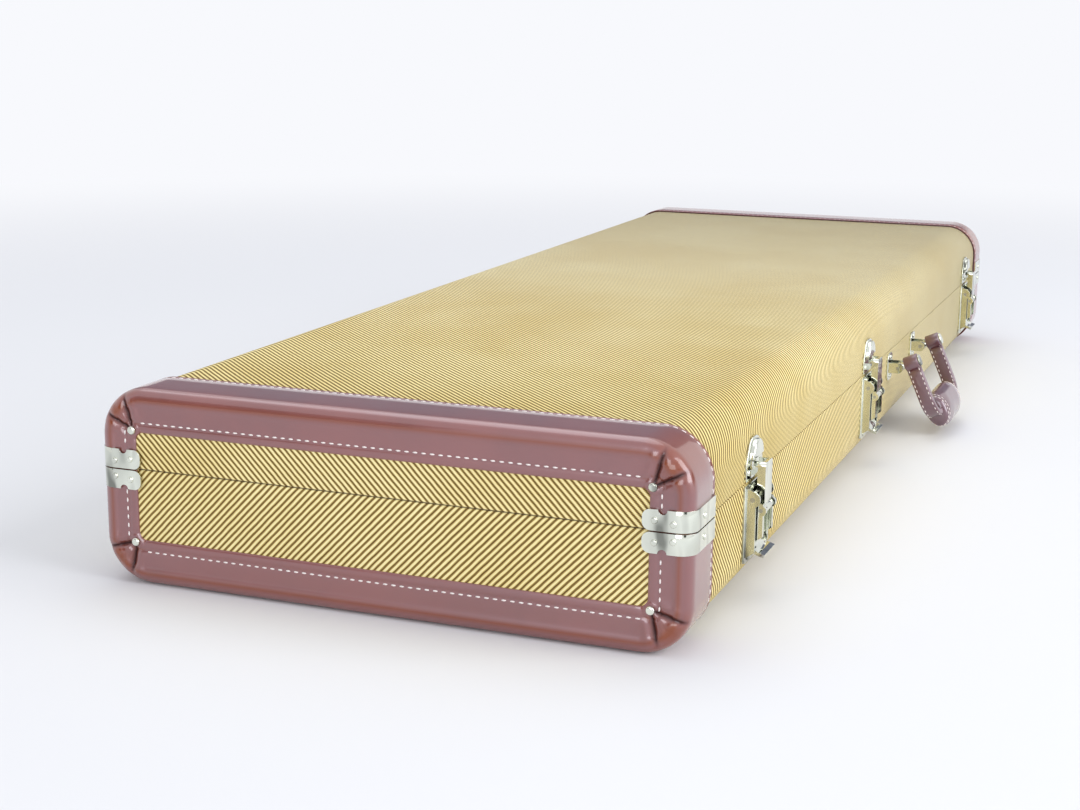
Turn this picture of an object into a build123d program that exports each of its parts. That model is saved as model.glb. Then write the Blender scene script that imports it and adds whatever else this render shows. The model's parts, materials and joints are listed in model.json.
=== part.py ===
from build123d import *
import os
from math import cos, radians, sin

os.makedirs("parts", exist_ok=True)

# Electric guitar case lying on its base: X runs from the head end to the body end,
# -Y is the side with the latches and the handle, +Y the hinge side, +Z is up.
# The origin is the centre of the underside. All sizes are millimetres.

# Overall sizes, measured over the leather ends
case_length = 1044.0
case_width = 368.0
case_height = 120.5
split_height = 71.2
seam_gap = 0.6
section_radius = 30.0
end_roll = 9.0

# Layers of the wall, from the outside in
leather_thick = 1.8
tweed_thick = 0.8
ply_thick = 6.0
lining_thick = 2.0
least_fillet = 1.0

# Leather ends
band_width = 41.0
band_clear = 1.0
panel_half_width = 159.5
panel_bottom = 28.0
panel_top = 93.8
panel_radius = 5.0

# Corner clamps
clamp_thick = 0.9
clamp_face_reach = 28.0
clamp_side_reach = 40.0
clamp_height = 11.8
clamp_seam_gap = 0.4
clamp_notch_radius = 2.6
clamp_notch_from_edge = 16.5
clamp_tip_radius = 4.5

# Rivets: head radius and rise
end_rivet = (2.6, 1.3)
small_rivet = (1.9, 0.9)
dome_round = 0.9
end_rivet_inset = 2.0
end_rivet_drop = 1.4
clamp_rivet_places = ((21.0, 6.2), (10.5, 4.8))

# Lip that keys the lid onto the base
lip_thick = 3.0
lip_rise = 5.0
lip_depth = 14.0
lip_clear = 1.0

# Padding of the inside
pad_top = 56.0
pad_clear = 0.3
pad_bow = 0.36
pad_step = 6.0
end_pad_reach = 30.0
waist_pad_length = 90.0
waist_pad_reach = 36.0
waist_pad_x = 270.0
neck_half = 46.0
block_wall = 8.0
box_start = -236.0
box_end = 66.0
cradle_start = -150.0
cradle_length = 70.0
cradle_slot_half = 31.0
cradle_slot_floor = 34.0
head_rest_x = -390.0
head_rest_size = (90.0, 110.0, 20.0)

# Accessory lid
flap_thick = 4.0
flap_level = 50.0
flap_side_clear = 0.8
flap_hinge_clear = 0.5
tab_size = (16.0, 28.0, 1.2)
tab_edge = 6.0

# Hinges
hinge_places = (-370.0, 0.0, 370.0)
hinge_width = 52.0
hinge_leaf_thick = 1.2
hinge_leaf_height = 24.0
hinge_rivet_along = 0.32
hinge_rivet_up = 0.7
hinge_slit = 3.0
hinge_offset = 3.6
knuckle_radius = 3.0
hinge_pin_radius = 1.4
hinge_gap = 0.3
running_gap = 0.05

# Latches
latch_places = {"head": -395.0, "centre": -59.0, "body": 421.0}
plate_width = 37.0
plate_bottom = 22.0
plate_top = 70.0
plate_thick = 1.5
plate_radius = 6.0
rim_inner = 14.6
rim_thick = 1.5
rim_out = 7.0
rim_foot = 4.0
rim_rise = 8.0
rim_top = 2.0
plate_edge_round = 0.5
plate_hole_above_bend = 12.0
plate_hole = (22.0, 6.0)
plate_rivet_x = 9.5
plate_rivet_up = 3.4
lever_pin_radius = 1.5
lever_pin_out = 5.0
lever_pin_z = 62.0
ear_radius = 4.6
lever_width = 25.0
lever_thick = 2.0
lever_knuckle = 3.0
lever_out = 4.5
lever_bend_z = 34.0
lever_toe_out = 4.6
lever_toe_z = 28.4
lever_groove_x = 3.2
lever_groove_up = 9.0
lever_groove = (16.0, 2.4)
lever_groove_rise = 0.7
rib_foot = 1.0
rib_rise = 5.0
rib_top = 4.0
rib_head = 5.0
tab_tip_out = 12.0
tab_tip_z = 27.4
rib_thick = 3.0
rib_out = 10.5
claw_pin_radius = 1.25
claw_pin_out = 9.2
claw_pin_z = 55.0
claw_eye = 2.6
claw_eye_wall = 0.6
claw_width = 16.0
claw_thick = 1.8
claw_in = 8.4
claw_top = 83.0
claw_nose = 3.0
claw_nose_in = 2.7
claw_slot = 9.0
claw_corner = 2.4
claw_flange_in = 5.4
claw_flange_low = 66.0
keeper_bottom = 72.3
keeper_top = 97.0
keeper_width = 36.0
keeper_dome_radius = 12.5
keeper_dome_out = 4.2
keeper_dome_z = 84.6
keeper_dome_edge = 1.5
keeper_dome_round = 1.2
keeper_rivet_x = 13.2
keeper_rivet_up = 5.0
lug_width = 8.0
lug_out = 7.9
lug_outline = (
    (plate_thick / 2, 1.5),
    (lug_out - 1.0, 2.2),
    (lug_out, 3.2),
    (lug_out, 7.0),
    (lug_out - 1.6, 7.0),
    (lug_out - 2.0, 4.4),
    (plate_thick / 2, 4.8),
)

# Handle
handle_x = 82.0
handle_spacing = 102.0
handle_lean = 24.0
pivot_out = 9.0
pivot_z = 59.0
mount_size = (18.0, 22.0)
mount_thick = 1.5
mount_ear_radius = 4.0
mount_ear_thick = 1.5
mount_ear_gap = 0.2
mount_rivet_z = 7.6
link_cap_round = 0.6
link_knuckle = 3.4
link_half = 6.0
link_pin_radius = 1.5
barrel_radius = 3.0
barrel_length = 18.0
barrel_cap = (4.6, 1.5)
strap_start = 5.0
strap_width = 11.5
strap_thick = 5.0
strap_loop = 3.0
strap_drop = 46.5
strap_bend = 14.0
grip_length = 68.0
grip_half_across = 10.5
grip_half_deep = 15.0
grip_round = 6.0

# Levels and faces that follow from the sizes above
tweed_inset = leather_thick
shell_inset = tweed_inset + tweed_thick
lining_inset = shell_inset + ply_thick
room_inset = lining_inset + lining_thick
wall = case_width / 2 - tweed_inset
room_half_width = case_width / 2 - room_inset
room_half_length = case_length / 2 - room_inset
base_edge = split_height - seam_gap / 2
lid_edge = split_height + seam_gap / 2
neck_wall = neck_half + block_wall
flap_hinge_y = -(neck_wall + flap_hinge_clear + flap_thick / 2)


def save(part, name):
    """Label one finished piece and write it to its file."""
    part.label = name
    export_step(part, f"parts/{name}.step")


def bar(inset):
    """The whole case as one solid, drawn in by inset on every side."""
    with BuildPart() as body:
        with BuildSketch(Plane.YZ.offset(inset - case_length / 2)):
            with Locations((0, case_height / 2)):
                RectangleRounded(
                    case_width - 2 * inset, case_height - 2 * inset, section_radius - inset
                )
        extrude(amount=case_length - 2 * inset)
        roll = end_roll - inset
        if roll > least_fillet:
            fillet(body.faces().filter_by(Axis.X).edges(), roll)
    return body.part


def layer(name, outer, inner, level, keep):
    """One layer of the wall, kept on one side of a level."""
    with BuildPart() as skin:
        add(bar(outer))
        add(bar(inner), mode=Mode.SUBTRACT)
        split(bisect_by=Plane.XY.offset(level), keep=keep)
    save(skin.part, name)


def base_cloth():
    """Cloth of the base, its underside padded out level with the leather ends."""
    field_length = case_length - 2 * (band_width + band_clear)
    with BuildPart() as skin:
        add(bar(tweed_inset))
        with BuildSketch(Plane.XY):
            Rectangle(field_length, case_width - 2 * section_radius)
        extrude(amount=shell_inset)
        add(bar(shell_inset), mode=Mode.SUBTRACT)
        split(bisect_by=Plane.XY.offset(base_edge), keep=Keep.BOTTOM)
    save(skin.part, "base_tweed")


def leather_end(name, side, level, keep):
    """Leather end cap with its panel opening, cut at the split."""
    with BuildPart() as cap:
        add(bar(0))
        add(bar(leather_thick), mode=Mode.SUBTRACT)
        with BuildSketch(Plane.YZ.offset(side * (case_length / 2 - band_width))):
            Rectangle(2 * case_width, 4 * case_height)
        extrude(amount=side * 2 * band_width, mode=Mode.INTERSECT)
        with BuildSketch(Plane.YZ.offset(side * (case_length / 2 - end_roll))):
            with Locations((0, (panel_bottom + panel_top) / 2)):
                RectangleRounded(2 * panel_half_width, panel_top - panel_bottom, panel_radius)
        extrude(amount=side * 2 * end_roll, mode=Mode.SUBTRACT)
        split(bisect_by=Plane.XY.offset(level), keep=keep)
    save(cap.part, name)


def dome(size):
    """Domed rivet head that stands on the XY plane."""
    radius, rise = size
    with BuildPart() as head:
        with BuildSketch():
            Circle(radius)
        extrude(amount=rise)
        fillet(head.faces().sort_by(Axis.Z)[-1].edges(), dome_round * rise)
    return head.part


def rivets(name, size, places):
    """Group of rivet heads; each place is a point and the way the head faces."""
    head = dome(size)
    with BuildPart() as group:
        for point, way in places:
            with Locations(Plane(origin=point, z_dir=way)):
                add(head)
    save(group.part, name)


def clamp(upper):
    """Corner clamp at the body end of the hinge side, above or below the seam."""
    sign = 1 if upper else -1
    start = split_height + sign * clamp_seam_gap
    face = case_length / 2
    with BuildPart() as piece:
        with BuildSketch(Plane.XY.offset(start)):
            RectangleRounded(
                case_length + 2 * clamp_thick, case_width + 2 * clamp_thick, end_roll + clamp_thick
            )
            RectangleRounded(case_length, case_width, end_roll, mode=Mode.SUBTRACT)
            with Locations((face + clamp_thick, case_width / 2 + clamp_thick)):
                Rectangle(
                    clamp_side_reach + clamp_thick,
                    clamp_face_reach + clamp_thick,
                    align=(Align.MAX, Align.MAX),
                    mode=Mode.INTERSECT,
                )
        extrude(amount=sign * clamp_height)
        outer_edge = start + sign * clamp_height
        with BuildSketch(Plane.YZ.offset(face - clamp_thick)):
            with Locations((case_width / 2 - clamp_notch_from_edge, outer_edge)):
                Circle(clamp_notch_radius)
        extrude(amount=3 * clamp_thick, mode=Mode.SUBTRACT)
        tip = piece.edges().filter_by(Axis.X).group_by(Axis.Y)[0]
        fillet(tip, clamp_tip_radius)
    return piece.part


def corner_pieces():
    """Four corner clamps on each half, their rivets, and the rivets of the leather."""
    for half, upper in (("lid", True), ("base", False)):
        with BuildPart() as clamps:
            add(clamp(upper))
            mirror(about=Plane.YZ)
            mirror(about=Plane.XZ)
        save(clamps.part, f"{half}_corner_clamps")
        sign = 1 if upper else -1
        clamp_spots = []
        end_spots = []
        for ex in (-1, 1):
            for sy in (-1, 1):
                face = ex * (case_length / 2 + clamp_thick)
                flank = sy * (case_width / 2 + clamp_thick)
                for inward, up in clamp_rivet_places:
                    z = split_height + sign * up
                    spot = (face, sy * (case_width / 2 - inward), z)
                    clamp_spots.append((spot, (ex, 0, 0)))
                z = split_height + sign * clamp_height / 2
                spot = (ex * (case_length / 2 - clamp_side_reach / 2), flank, z)
                clamp_spots.append((spot, (0, sy, 0)))
                level = panel_top if upper else panel_bottom
                spot = (
                    ex * case_length / 2,
                    sy * (panel_half_width + end_rivet_inset),
                    level + sign * end_rivet_drop,
                )
                end_spots.append((spot, (ex, 0, 0)))
        rivets(f"{half}_clamp_rivets", small_rivet, clamp_spots)
        rivets(f"{half}_end_rivets", end_rivet, end_spots)


def lip():
    """Wooden lip inside the base that the lid closes over."""
    length = 2 * room_half_length
    width = 2 * room_half_width
    with BuildPart() as ring:
        with BuildSketch(Plane.XY.offset(split_height - lip_depth)):
            Rectangle(length, width)
            Rectangle(length - 2 * lip_thick, width - 2 * lip_thick, mode=Mode.SUBTRACT)
        extrude(amount=lip_depth + lip_rise)
    save(ring.part, "base_lip")


def block(name, x0, x1, y0, y1, top, slot=None):
    """Padded block that stands on the lined floor, with an optional slot along X."""
    with BuildPart() as pad:
        with BuildSketch(Plane.XY.offset(room_inset)):
            with Locations(((x0 + x1) / 2, (y0 + y1) / 2)):
                RectangleRounded(x1 - x0, y1 - y0, 3)
        extrude(amount=top - room_inset)
        fillet(pad.faces().sort_by(Axis.Z)[-1].edges(), 2)
        add(pad_room, mode=Mode.INTERSECT)
        if slot:
            half, floor = slot
            with BuildSketch(Plane.YZ.offset(x0 - 1)):
                with Locations((0, floor)):
                    RectangleRounded(
                        2 * half, 2 * (top - floor), 6, align=(Align.CENTER, Align.MIN)
                    )
            extrude(amount=x1 - x0 + 2, mode=Mode.SUBTRACT)
    save(pad.part, name)


def waist_pad(name, side):
    """Side pad of the body well, bowed to the waist of the guitar."""
    flank = side * (room_half_width - pad_clear)
    x0 = waist_pad_x - waist_pad_length
    x1 = waist_pad_x + waist_pad_length
    with BuildPart() as pad:
        with BuildSketch(Plane.XY.offset(room_inset)):
            with BuildLine():
                Line((x0, flank), (x1, flank))
                ThreePointArc(
                    (x1, flank), (waist_pad_x, flank - side * waist_pad_reach), (x0, flank)
                )
            make_face()
        extrude(amount=pad_top - room_inset)
        fillet(pad.faces().sort_by(Axis.Z)[-1].edges(), 2)
        add(pad_room, mode=Mode.INTERSECT)
    save(pad.part, name)


def corner_pad(name, side):
    """Corner pad at the far end of the body well, hollowed to the round of the body."""
    x1 = room_half_length - pad_clear
    flank = side * (room_half_width - pad_clear)
    reach = 3 * end_pad_reach
    with BuildPart() as pad:
        with BuildSketch(Plane.XY.offset(room_inset)):
            with BuildLine():
                Line((x1 - reach, flank), (x1, flank))
                Line((x1, flank), (x1, flank - side * reach))
                ThreePointArc(
                    (x1, flank - side * reach),
                    (x1 - pad_bow * reach, flank - side * pad_bow * reach),
                    (x1 - reach, flank),
                )
            make_face()
        extrude(amount=pad_top - room_inset)
        fillet(pad.faces().sort_by(Axis.Z)[-1].edges(), 2)
        add(pad_room, mode=Mode.INTERSECT)
    save(pad.part, name)


def padding():
    """Padded blocks that hold the guitar, and the walls of the accessory box."""
    edge = room_half_width - pad_clear
    block("box_wall_long", box_start, box_end, -neck_wall, -neck_half, pad_top)
    block("box_wall_head", box_start, box_start + block_wall, -edge, -neck_wall - pad_clear, pad_top)
    block("box_wall_body", box_end - block_wall, box_end, -edge, -neck_wall - pad_clear, pad_top)
    block("neck_block_rear", box_start, box_end, neck_half, edge, pad_top)
    block(
        "neck_cradle",
        cradle_start,
        cradle_start + cradle_length,
        -neck_half + pad_clear,
        neck_half - pad_clear,
        pad_top - pad_step,
        slot=(cradle_slot_half, cradle_slot_floor),
    )
    length, width, rise = head_rest_size
    block(
        "head_rest",
        head_rest_x - length / 2,
        head_rest_x + length / 2,
        -width / 2,
        width / 2,
        room_inset + rise,
    )
    waist_pad("waist_pad_front", -1)
    waist_pad("waist_pad_rear", 1)
    corner_pad("corner_pad_front", -1)
    corner_pad("corner_pad_rear", 1)


def accessory_flap():
    """Lid of the accessory box, rounded along its hinge edge, with a pull tab."""
    x0 = box_start + block_wall + flap_side_clear
    x1 = box_end - block_wall - flap_side_clear
    front = -(room_half_width - lip_thick - flap_side_clear)
    middle = flap_level + flap_thick / 2
    with BuildPart() as flap:
        with BuildSketch(Plane.YZ.offset(x0)):
            with Locations(((front + flap_hinge_y) / 2, middle)):
                Rectangle(flap_hinge_y - front, flap_thick)
            with Locations((flap_hinge_y, middle)):
                Circle(flap_thick / 2)
        extrude(amount=x1 - x0)
        fillet(flap.edges().filter_by(Axis.Z).group_by(Axis.Y)[0], 4)
    save(flap.part, "accessory_flap")
    width, length, thick = tab_size
    with BuildPart() as tab:
        with BuildSketch(Plane.XY.offset(flap_level + flap_thick)):
            with Locations(((x0 + x1) / 2, front + tab_edge + length / 2)):
                RectangleRounded(width, length, 3)
        extrude(amount=thick)
    save(tab.part, "accessory_tab")


def rod(centre_y, centre_z, x0, x1, radius):
    """Round stock along X, to add to a piece or to cut from it."""
    with BuildPart() as stock:
        with BuildSketch(Plane.YZ.offset(x0)):
            with Locations((centre_y, centre_z)):
                Circle(radius)
        extrude(amount=x1 - x0)
    return stock.part


def hinge_leaf(x, upper):
    """Hinge leaf on the rear wall; the base carries the outer knuckles."""
    sign = 1 if upper else -1
    axis_y = wall + hinge_offset
    half = hinge_width / 2
    third = hinge_width / 6
    own = [(-third, third)] if upper else [(-half, -third), (third, half)]
    other = [(-half, -third), (third, half)] if upper else [(-third, third)]
    with BuildPart() as leaf:
        with BuildSketch(Plane.XZ.offset(-wall)):
            with Locations((x, split_height + sign * (hinge_gap + hinge_leaf_height / 2))):
                RectangleRounded(hinge_width, hinge_leaf_height, 3)
            with Locations((x, split_height + sign * (hinge_gap + hinge_slit))):
                Rectangle(hinge_width, 6)
        extrude(amount=-hinge_leaf_thick)
        for x0, x1 in other:
            room = rod(
                axis_y,
                split_height,
                x + x0 - hinge_gap,
                x + x1 + hinge_gap,
                knuckle_radius + hinge_gap,
            )
            add(room, mode=Mode.SUBTRACT)
        for x0, x1 in own:
            start = x + x0 + hinge_gap
            stop = x + x1 - hinge_gap
            add(rod(axis_y, split_height, start, stop, knuckle_radius))
            with BuildSketch(Plane.YZ.offset(x + x0 + hinge_gap)):
                with Locations((wall, split_height + sign * hinge_gap)):
                    Rectangle(
                        hinge_offset,
                        knuckle_radius - hinge_gap,
                        align=(Align.MIN, Align.MIN if upper else Align.MAX),
                    )
            extrude(amount=x1 - x0 - 2 * hinge_gap)
        clearance = running_gap if upper else 0
        hole = rod(axis_y, split_height, x - half, x + half, hinge_pin_radius + clearance)
        add(hole, mode=Mode.SUBTRACT)
    return leaf.part


def hinges():
    """Three butt hinges on the rear wall, with their pins and rivets."""
    base_spots = []
    lid_spots = []
    for half, upper in (("base", False), ("lid", True)):
        with BuildPart() as leaves:
            for x in hinge_places:
                add(hinge_leaf(x, upper))
        save(leaves.part, f"{half}_hinge_leaves")
    for x in hinge_places:
        for dx in (-hinge_rivet_along * hinge_width, hinge_rivet_along * hinge_width):
            y = wall + hinge_leaf_thick
            reach = hinge_rivet_up * hinge_leaf_height
            base_spots.append(((x + dx, y, split_height - reach), (0, 1, 0)))
            lid_spots.append(((x + dx, y, split_height + reach), (0, 1, 0)))
    rivets("base_hinge_rivets", small_rivet, base_spots)
    rivets("lid_hinge_rivets", small_rivet, lid_spots)
    with BuildPart() as pins:
        for x in hinge_places:
            reach = hinge_width / 2
            add(rod(wall + hinge_offset, split_height, x - reach, x + reach, hinge_pin_radius))
    save(pins.part, "hinge_pins")


def out(depth):
    """Y of a point that stands out from the latch side wall."""
    return -(wall + depth)


def latch_plate(name, x):
    """Stamped tray of a latch, with two side rims that carry the lever pin."""
    with BuildPart() as plate:
        with BuildSketch(Plane.XZ.offset(wall)):
            with Locations((x, (plate_bottom + plate_top) / 2)):
                RectangleRounded(plate_width, plate_top - plate_bottom, plate_radius)
            with Locations((x, plate_top - plate_radius)):
                Rectangle(plate_width, 2 * plate_radius)
        extrude(amount=plate_thick)
        fillet(plate.faces().sort_by(Axis.Y)[0].edges(), plate_edge_round)
        for x0 in (x - rim_inner - rim_thick, x + rim_inner):
            with BuildSketch(Plane.YZ.offset(x0)):
                with BuildLine():
                    Polyline(
                        (out(plate_thick / 2), plate_bottom + rim_foot),
                        (out(rim_out), plate_bottom + rim_rise),
                        (out(rim_out), lever_pin_z),
                        (out(rim_out), lever_pin_z + ear_radius),
                        (out(plate_thick / 2), lever_pin_z + ear_radius + rim_top),
                        close=True,
                    )
                make_face()
                with Locations((out(lever_pin_out), lever_pin_z)):
                    Circle(ear_radius)
                    Circle(lever_pin_radius, mode=Mode.SUBTRACT)
            extrude(amount=rim_thick)
        with BuildSketch(Plane.XZ.offset(wall + plate_thick / 2)):
            with Locations((x, lever_bend_z + plate_hole_above_bend)):
                SlotOverall(*plate_hole, rotation=90)
        extrude(amount=plate_thick, mode=Mode.SUBTRACT)
    save(plate.part, name)


def latch_lever(name, x):
    """Ribbed lever with a finger tab that curls away from the wall."""
    toe = (out(lever_out + lever_toe_out), lever_toe_z)
    half = lever_width / 2
    with BuildPart() as lever:
        with BuildSketch(Plane.YZ.offset(x - half)):
            with BuildLine() as spine:
                Line((out(lever_out), lever_pin_z), (out(lever_out), lever_bend_z))
                TangentArc(
                    (out(lever_out), lever_bend_z), toe, tangent=(0, -1)
                )
                Line(toe, (out(tab_tip_out), tab_tip_z))
            trace(spine.edges(), line_width=lever_thick)
            with Locations((out(lever_pin_out), lever_pin_z)):
                Circle(lever_knuckle)
        extrude(amount=lever_width)
        for x0 in (x - half, x + half - rib_thick):
            with BuildSketch(Plane.YZ.offset(x0)):
                with BuildLine():
                    Polyline(
                        (out(lever_out), lever_bend_z + rib_foot),
                        (out(rib_out), lever_bend_z + rib_rise),
                        (out(rib_out), claw_pin_z + rib_top),
                        (out(lever_out), claw_pin_z + rib_head),
                        close=True,
                    )
                make_face()
                with Locations((out(claw_pin_out), claw_pin_z)):
                    Circle(claw_eye + claw_eye_wall)
            extrude(amount=rib_thick)
        for dx in (-lever_groove_x, lever_groove_x):
            with BuildSketch(Plane.XZ.offset(wall + lever_out)):
                with Locations((x + dx, lever_bend_z + lever_groove_up)):
                    SlotOverall(*lever_groove, rotation=90)
            extrude(amount=lever_thick / 2 + lever_groove_rise)
        hole_radius = lever_pin_radius + running_gap
        hole = rod(out(lever_pin_out), lever_pin_z, x - half, x + half, hole_radius)
        add(hole, mode=Mode.SUBTRACT)
        hole = rod(out(claw_pin_out), claw_pin_z, x - half, x + half, claw_pin_radius)
        add(hole, mode=Mode.SUBTRACT)
    save(lever.part, name)


def latch_claw(name, x):
    """Claw that reaches from the lever to the keeper and passes its lug by a slot."""
    half = claw_width / 2
    with BuildPart() as claw:
        with BuildSketch(Plane.YZ.offset(x - half)):
            with Locations((out(claw_in + claw_thick / 2), (claw_pin_z + claw_top) / 2)):
                Rectangle(claw_thick, claw_top - claw_pin_z)
            with Locations((out((claw_nose_in + claw_in + claw_thick) / 2), claw_top)):
                Rectangle(
                    claw_in + claw_thick - claw_nose_in, claw_nose, align=(Align.CENTER, Align.MAX)
                )
            with Locations((out(claw_pin_out), claw_pin_z)):
                Circle(claw_eye)
        extrude(amount=claw_width)
        flange_deep = claw_in - claw_flange_in
        flange_middle = (out((claw_in + claw_flange_in) / 2), (claw_flange_low + claw_top) / 2)
        for x0 in (x - half, x + half - rib_thick):
            with BuildSketch(Plane.YZ.offset(x0)):
                with Locations(flange_middle):
                    Rectangle(flange_deep, claw_top - claw_flange_low)
            extrude(amount=rib_thick)
        with BuildSketch(Plane.XZ.offset(wall + claw_nose_in - 1)):
            with Locations((x, claw_top - claw_nose)):
                Rectangle(claw_slot, 3 * claw_nose)
        extrude(amount=claw_in - claw_nose_in + 1, mode=Mode.SUBTRACT)
        corners = claw.edges().filter_by(Axis.Y).group_by(Axis.Z)[-1]
        fillet(corners.sort_by(Axis.X)[0], claw_corner)
        corners = claw.edges().filter_by(Axis.Y).group_by(Axis.Z)[-1]
        fillet(corners.sort_by(Axis.X)[-1], claw_corner)
        hole_radius = claw_pin_radius + running_gap
        hole = rod(out(claw_pin_out), claw_pin_z, x - half, x + half, hole_radius)
        add(hole, mode=Mode.SUBTRACT)
    save(claw.part, name)


def latch_keeper(name, x):
    """Keeper on the lid: half round plate, raised dome and the lug the claw takes."""
    half = keeper_width / 2
    with BuildPart() as keeper:
        with BuildSketch(Plane.XZ.offset(wall)):
            with Locations((x, keeper_top - half)):
                Circle(half)
            with Locations((x, keeper_bottom)):
                Rectangle(
                    2 * keeper_width,
                    keeper_width,
                    align=(Align.CENTER, Align.MAX),
                    mode=Mode.SUBTRACT,
                )
        extrude(amount=plate_thick)
        fillet(keeper.faces().sort_by(Axis.Y)[0].edges(), plate_edge_round)
        with BuildSketch(Plane.XZ.offset(wall + plate_thick / 2)):
            with Locations((x, keeper_dome_z)):
                Circle(keeper_dome_radius - keeper_dome_edge)
                Rectangle(
                    keeper_width,
                    keeper_width,
                    align=(Align.CENTER, Align.MAX),
                    mode=Mode.SUBTRACT,
                )
        extrude(amount=keeper_dome_out - plate_thick / 2)
        fillet(keeper.faces().sort_by(Axis.Y)[0].edges(), keeper_dome_round)
        with BuildSketch(Plane.YZ.offset(x - lug_width / 2)):
            with BuildLine():
                Polyline(
                    *[(out(reach), keeper_bottom + up) for reach, up in lug_outline],
                    close=True,
                )
            make_face()
        extrude(amount=lug_width)
    save(keeper.part, name)


def latches():
    """Three draw latches with their pins and rivets."""
    base_spots = []
    lid_spots = []
    for tag, x in latch_places.items():
        latch_plate(f"latch_plate_{tag}", x)
        latch_lever(f"latch_lever_{tag}", x)
        latch_claw(f"latch_claw_{tag}", x)
        latch_keeper(f"latch_keeper_{tag}", x)
        with BuildPart() as pin:
            reach = lever_width / 2
            add(rod(out(claw_pin_out), claw_pin_z, x - reach, x + reach, claw_pin_radius))
        save(pin.part, f"claw_pin_{tag}")
        y = out(plate_thick)
        for dx in (-plate_rivet_x, plate_rivet_x):
            base_spots.append(((x + dx, y, plate_bottom + plate_rivet_up), (0, -1, 0)))
        for dx in (-keeper_rivet_x, keeper_rivet_x):
            lid_spots.append(((x + dx, y, keeper_bottom + keeper_rivet_up), (0, -1, 0)))
    rivets("latch_plate_rivets", small_rivet, base_spots)
    rivets("latch_keeper_rivets", small_rivet, lid_spots)
    reach = rim_inner + rim_thick
    with BuildPart() as pins:
        for x in latch_places.values():
            add(rod(out(lever_pin_out), lever_pin_z, x - reach, x + reach, lever_pin_radius))
    save(pins.part, "lever_pins")


def handle_mounts():
    """Two wall brackets with ears, and the pins through them."""
    spots = []
    ear_start = link_half + mount_ear_gap
    width, height = mount_size
    for tag, side in (("head", -1), ("body", 1)):
        x = handle_x + side * handle_spacing / 2
        with BuildPart() as mount:
            with BuildSketch(Plane.XZ.offset(wall)):
                with Locations((x, pivot_z)):
                    RectangleRounded(width, height, 5)
            extrude(amount=mount_thick)
            fillet(mount.faces().sort_by(Axis.Y)[0].edges(), plate_edge_round)
            for x0 in (x - ear_start - mount_ear_thick, x + ear_start):
                with BuildSketch(Plane.YZ.offset(x0)):
                    with Locations((out(pivot_out / 2), pivot_z)):
                        Rectangle(pivot_out - mount_thick, 2 * mount_ear_radius)
                    with Locations((out(pivot_out), pivot_z)):
                        Circle(mount_ear_radius)
                        Circle(link_pin_radius, mode=Mode.SUBTRACT)
                extrude(amount=mount_ear_thick)
        save(mount.part, f"handle_mount_{tag}")
        for dz in (-mount_rivet_z, mount_rivet_z):
            spots.append(((x, out(mount_thick), pivot_z + dz), (0, -1, 0)))
    rivets("handle_mount_rivets", small_rivet, spots)
    reach = link_half + mount_ear_gap + mount_ear_thick
    with BuildPart() as pins:
        for side in (-1, 1):
            x = handle_x + side * handle_spacing / 2
            add(rod(out(pivot_out), pivot_z, x - reach, x + reach, link_pin_radius))
    save(pins.part, "handle_pins")


def handle():
    """Handle: two metal links, a bent strap looped over them and a stuffed grip."""
    lean = radians(handle_lean)
    frame = Plane(
        origin=(handle_x, out(pivot_out), pivot_z),
        x_dir=(1, 0, 0),
        z_dir=(0, -cos(lean), sin(lean)),
    )
    half = handle_spacing / 2
    cap_radius, cap_thick = barrel_cap
    for tag, side in (("head", -1), ("body", 1)):
        x = handle_x + side * half
        with BuildPart() as link:
            add(rod(out(pivot_out), pivot_z, x - link_half, x + link_half, link_knuckle))
            with BuildSketch(frame):
                with Locations((side * half, 0)):
                    Circle(barrel_radius)
            extrude(amount=barrel_length)
            with BuildSketch(frame.offset(barrel_length - cap_thick)):
                with Locations((side * half, 0)):
                    Circle(cap_radius)
            extrude(amount=cap_thick)
            fillet(link.faces().sort_by(Axis((0, 0, 0), frame.z_dir))[-1].edges(), link_cap_round)
            hole_radius = link_pin_radius + running_gap
            hole = rod(out(pivot_out), pivot_z, x - link_half, x + link_half, hole_radius)
            add(hole, mode=Mode.SUBTRACT)
        save(link.part, f"handle_link_{tag}")
    with BuildPart() as strap:
        with BuildSketch(frame.offset(strap_start)):
            with BuildLine() as path:
                FilletPolyline(
                    (-half, -barrel_radius),
                    (-half, -strap_drop),
                    (half, -strap_drop),
                    (half, -barrel_radius),
                    radius=strap_bend,
                )
            trace(path.edges(), line_width=strap_thick)
            with Locations((-half, 0), (half, 0)):
                Circle(barrel_radius + strap_loop)
            with Locations((-half, 0), (half, 0)):
                Circle(barrel_radius, mode=Mode.SUBTRACT)
        extrude(amount=strap_width)
    save(strap.part, "handle_strap")
    middle = frame.from_local_coords(
        Vector(-grip_length / 2, -strap_drop, strap_start + strap_width / 2)
    )
    with BuildPart() as grip:
        with BuildSketch(Plane(origin=middle, x_dir=frame.z_dir, z_dir=(1, 0, 0))):
            Ellipse(grip_half_across, grip_half_deep)
        extrude(amount=grip_length)
        ends = grip.faces().filter_by(GeomType.PLANE)
        fillet(ends.edges(), grip_round)
        add(strap.part, mode=Mode.SUBTRACT)
    save(grip.part, "handle_grip")


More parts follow.
